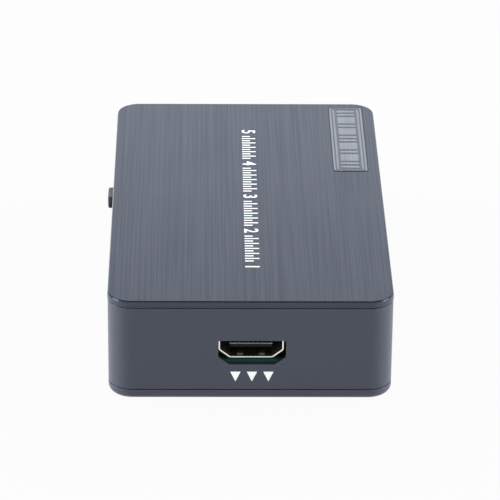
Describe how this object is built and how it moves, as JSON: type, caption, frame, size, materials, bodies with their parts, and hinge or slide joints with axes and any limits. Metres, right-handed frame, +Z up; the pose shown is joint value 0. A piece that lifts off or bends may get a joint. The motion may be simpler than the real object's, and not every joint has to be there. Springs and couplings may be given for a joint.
{
  "type": "hdmi switch box",
  "caption": "Flat rectangular video switch box with a row of input sockets, one output socket, a select push button and a power jack.",
  "frame": {"origin": "middle of the whole footprint, on the surface that the feet stand on", "axes": "+Z up, +Y along the length away from the output socket, +X towards the wall with the inputs, the button on -X"},
  "size_m": [0.0662, 0.1102, 0.0258],
  "materials": {
    "brushed_lid": "brushed dark grey, satin",
    "badge": "brushed, paler grey with an engraved border",
    "case_plastic": "satin dark blue-grey",
    "foot_rubber": "matt black",
    "screw_steel": "dark zinc",
    "board_green": "green solder mask",
    "plated_shell": "nickel plated sheet",
    "socket_black": "moulded black",
    "contact_gold": "gold plated",
    "button_gloss": "gloss dark blue-black",
    "lamp_clear": "water clear resin, cast milky",
    "window_dark": "deep red black, gloss",
    "tinned_lead": "tinned",
    "capacitor_sleeve": "printed sleeve",
    "ceramic_tan": "fired ceramic"
  },
  "bodies": {
    "case": {"lid": "brushed_lid", "badge_plate": "badge", "body_frame": "case_plastic", "bottom_cover": "case_plastic", "rubber_feet": "foot_rubber", "case_screws": "screw_steel", "circuit_board": "board_green", "output_shell": "plated_shell", "output_insulator": "socket_black", "output_contacts": "contact_gold", "input_1_shell": "plated_shell", "input_1_insulator": "socket_black", "input_1_contacts": "contact_gold", "input_2_shell": "plated_shell", "input_2_insulator": "socket_black", "input_2_contacts": "contact_gold", "input_3_shell": "plated_shell", "input_3_insulator": "socket_black", "input_3_contacts": "contact_gold", "input_4_shell": "plated_shell", "input_4_insulator": "socket_black", "input_4_contacts": "contact_gold", "input_5_shell": "plated_shell", "input_5_insulator": "socket_black", "input_5_contacts": "contact_gold", "switch_base": "socket_black", "switch_cover": "plated_shell", "switch_dome": "plated_shell", "status_leds": "lamp_clear", "led_leads": "tinned_lead", "ir_window": "window_dark", "ir_receiver": "socket_black", "ir_receiver_leads": "tinned_lead", "dc_jack_housing": "socket_black", "dc_jack_pin": "tinned_lead", "dc_jack_spring": "tinned_lead", "switch_chip": "socket_black", "switch_chip_leads": "tinned_lead", "controller_chip": "socket_black", "controller_chip_leads": "tinned_lead", "crystal": "plated_shell", "regulator": "socket_black", "regulator_leads": "tinned_lead", "bulk_capacitors": "capacitor_sleeve", "resistors": "socket_black", "ceramic_capacitors": "ceramic_tan"},
    "button": {"select_button": "button_gloss", "switch_plunger": "socket_black"}
  },
  "joints": [
    {"name": "button_press", "type": "slide", "parent": "case", "child": "button", "axis": [1, 0, 0], "range_m": [0, 0.00035], "stiffness_N_per_m": 3000}
  ]
}
